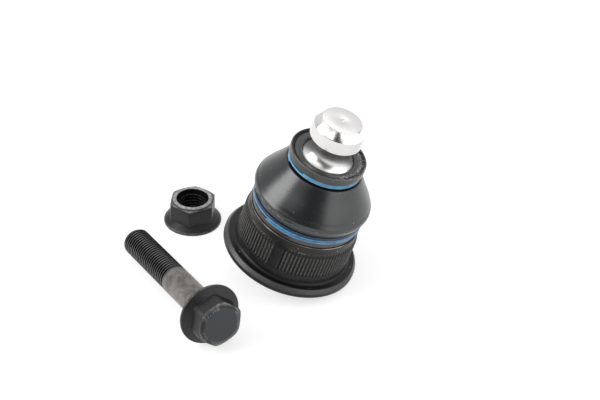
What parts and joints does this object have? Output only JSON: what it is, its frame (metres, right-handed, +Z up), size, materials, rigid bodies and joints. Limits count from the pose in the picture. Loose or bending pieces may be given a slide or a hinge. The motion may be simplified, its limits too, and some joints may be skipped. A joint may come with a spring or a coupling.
{
  "type": "suspension ball joint",
  "caption": "Press-in suspension ball joint with a knurled housing, sealed rubber boot and pinch-groove stud, with its flanged pinch bolt and nut laid beside it.",
  "frame": {"origin": "middle of the foot of the whole set's box, on the surface that the pieces lie on", "axes": "+Z up from the surface; +X to the right and +Y away, with the stud leaning towards +X and the bolt's head nearest, at -Y"},
  "size_m": [0.0846, 0.0886, 0.0656],
  "materials": {
    "housing_steel": "dark phosphate coating, satin",
    "cover_steel": "dark pressed sheet, satin",
    "stud_steel": "turned and polished, satin",
    "bearing_plastic": "natural bearing plastic",
    "spring_steel": "spring steel",
    "boot_rubber": "moulded black rubber, satin",
    "ring_blue": "blue coated flat wire",
    "fastener_steel": "dark grey zinc flake"
  },
  "bodies": {
    "housing": {"housing": "housing_steel", "closing_cover": "cover_steel", "preload_spring": "spring_steel", "upper_bearing_ring": "bearing_plastic", "lower_boot_ring": "ring_blue", "dust_boot": "boot_rubber"},
    "cup": {"lower_bearing_cup": "bearing_plastic"},
    "collar": {"upper_boot_ring": "ring_blue"},
    "stud": {"ball_stud": "stud_steel"},
    "bolt": {"pinch_bolt": "fastener_steel"},
    "nut": {"pinch_nut": "fastener_steel"}
  },
  "joints": [
    {"name": "cup_turn", "type": "hinge", "parent": "housing", "child": "cup", "pos_m": [0.01809, 0.00749, 0.01777], "axis": [0.2797, -0.077, 0.957], "continuous": true},
    {"name": "stud_tilt", "type": "hinge", "parent": "cup", "child": "collar", "pos_m": [0.01809, 0.00749, 0.01777], "axis": [0.2656, 0.9641, 0], "range_deg": [-25, 25], "deforming": ["dust_boot"]},
    {"name": "stud_spin", "type": "hinge", "parent": "collar", "child": "stud", "pos_m": [0.01809, 0.00749, 0.01777], "axis": [0.2797, -0.077, 0.957], "continuous": true},
    {"name": "bolt_lift", "type": "slide", "parent": "housing", "child": "bolt", "axis": [0, 0, 1], "range_m": [0, 0.08]},
    {"name": "nut_lift", "type": "slide", "parent": "housing", "child": "nut", "axis": [0, 0, 1], "range_m": [0, 0.08]}
  ]
}
